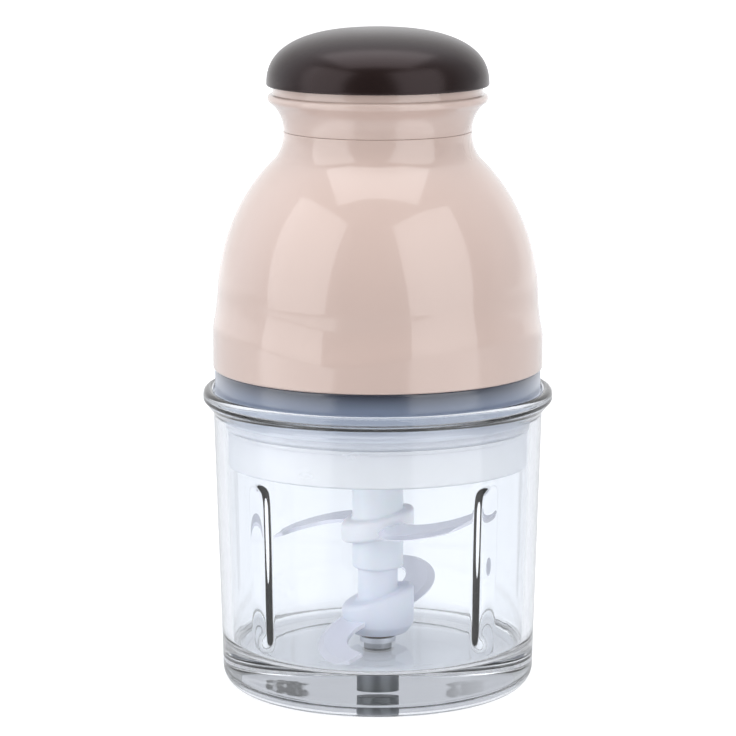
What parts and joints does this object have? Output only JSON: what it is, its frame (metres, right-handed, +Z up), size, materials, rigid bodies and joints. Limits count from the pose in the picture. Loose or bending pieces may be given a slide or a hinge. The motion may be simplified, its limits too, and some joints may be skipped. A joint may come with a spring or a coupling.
{
  "type": "electric mini chopper",
  "caption": "Electric mini chopper: ribbed glass bowl with S-shaped blades on a spindle, frosted inner lid, glossy domed motor housing with a waist, and a brown press-down button cap.",
  "frame": {"origin": "centre of the glass bowl's foot, on the table", "axes": "+Z up along the spindle, -Y towards the viewer of the picture, +X to the viewer's right"},
  "size_m": [0.125, 0.125, 0.2367],
  "materials": {
    "bowl_glass": "polished clear glass",
    "body_beige": "high gloss",
    "cap_brown": "satin",
    "lid_frosted": "frosted translucent",
    "seal_silicone": "matte",
    "stem_white": "satin",
    "sleeve_white": "satin",
    "blade_steel": "ground",
    "pin_steel": "turned",
    "bronze": "sintered",
    "inner_grey": "moulded",
    "gland_rubber": "matte",
    "gear_nylon": "moulded",
    "gear_steel": "hobbed",
    "lamination": "stamped stack",
    "copper": "enamelled wire",
    "brass": "stamped",
    "carbon": "pressed",
    "bakelite": "moulded",
    "black_plastic": "moulded",
    "red_plastic": "moulded",
    "cast_alloy": "die cast",
    "fastener_steel": "plated"
  },
  "bodies": {
    "bowl": {"glass_bowl": "bowl_glass", "spindle_pin": "pin_steel"},
    "blade_unit": {"blade_stem": "stem_white", "blade_sleeve": "sleeve_white", "upper_blade": "blade_steel", "lower_blade": "blade_steel", "stem_bush": "bronze", "drive_hex": "fastener_steel"},
    "lid": {"bowl_lid": "lid_frosted", "lid_seal": "seal_silicone"},
    "head": {"motor_shell": "body_beige", "neck_collar": "body_beige", "base_plate": "inner_grey", "base_screws": "fastener_steel", "cord_gland": "gland_rubber", "ring_gear": "gear_nylon", "gear_cover": "inner_grey", "output_bush": "bronze", "motor_bracket": "cast_alloy", "motor_mounts": "gland_rubber", "mount_screws": "fastener_steel", "end_frame": "bakelite", "stator_core": "lamination", "field_coils": "copper", "stator_bolts": "fastener_steel", "lower_bush": "bronze", "upper_bush": "bronze", "brush_holders": "brass", "carbon_brushes": "carbon", "switch_cradle": "inner_grey", "cradle_screws": "fastener_steel", "switch_body": "black_plastic", "button_spring": "fastener_steel"},
    "rotor": {"motor_shaft": "pin_steel", "sun_gear": "gear_steel", "armature_core": "lamination", "armature_winding": "copper", "commutator": "copper", "cooling_fan": "black_plastic"},
    "output": {"planet_carrier": "gear_steel", "planet_pins": "fastener_steel", "drive_socket": "stem_white"},
    "planet_1": {"planet_gear_1": "gear_nylon"},
    "planet_2": {"planet_gear_2": "gear_nylon"},
    "planet_3": {"planet_gear_3": "gear_nylon"},
    "button": {"button_cap": "cap_brown", "button_carrier": "stem_white"},
    "plunger": {"switch_plunger": "red_plastic"}
  },
  "joints": [
    {"name": "lid_lift", "type": "slide", "parent": "bowl", "child": "lid", "axis": [0, 0, 1], "range_m": [0, 0.14]},
    {"name": "head_lift", "type": "slide", "parent": "lid", "child": "head", "axis": [0, 0, 1], "range_m": [0, 0.15]},
    {"name": "button_press", "type": "slide", "parent": "head", "child": "button", "axis": [0, 0, -1], "range_m": [0, 0.0018], "stiffness_N_per_m": 1500, "springref_m": -0.003, "deforming": ["button_spring"]},
    {"name": "plunger_press", "type": "slide", "parent": "head", "child": "plunger", "axis": [0, 0, -1], "range_m": [0, 0.0018]},
    {"name": "rotor_spin", "type": "hinge", "parent": "head", "child": "rotor", "pos_m": [0, 0, 0.16], "axis": [0, 0, 1], "continuous": true},
    {"name": "output_spin", "type": "hinge", "parent": "head", "child": "output", "pos_m": [0, 0, 0.118], "axis": [0, 0, 1], "continuous": true},
    {"name": "planet_1_spin", "type": "hinge", "parent": "output", "child": "planet_1", "pos_m": [0, 0.0144, 0.128], "axis": [0, 0, 1], "continuous": true},
    {"name": "planet_2_spin", "type": "hinge", "parent": "output", "child": "planet_2", "pos_m": [-0.01247, -0.0072, 0.128], "axis": [0, 0, 1], "continuous": true},
    {"name": "planet_3_spin", "type": "hinge", "parent": "output", "child": "planet_3", "pos_m": [0.01247, -0.0072, 0.128], "axis": [0, 0, 1], "continuous": true},
    {"name": "blade_spin", "type": "hinge", "parent": "bowl", "child": "blade_unit", "pos_m": [0, 0, 0.05], "axis": [0, 0, 1], "continuous": true}
  ],
  "couplings": [
    {"joint": "plunger_press", "follows": "button_press", "ratio": 1},
    {"joint": "output_spin", "follows": "rotor_spin", "ratio": 0.25},
    {"joint": "planet_1_spin", "follows": "rotor_spin", "ratio": -0.75},
    {"joint": "planet_2_spin", "follows": "rotor_spin", "ratio": -0.75},
    {"joint": "planet_3_spin", "follows": "rotor_spin", "ratio": -0.75},
    {"joint": "blade_spin", "follows": "rotor_spin", "ratio": 0.25}
  ]
}
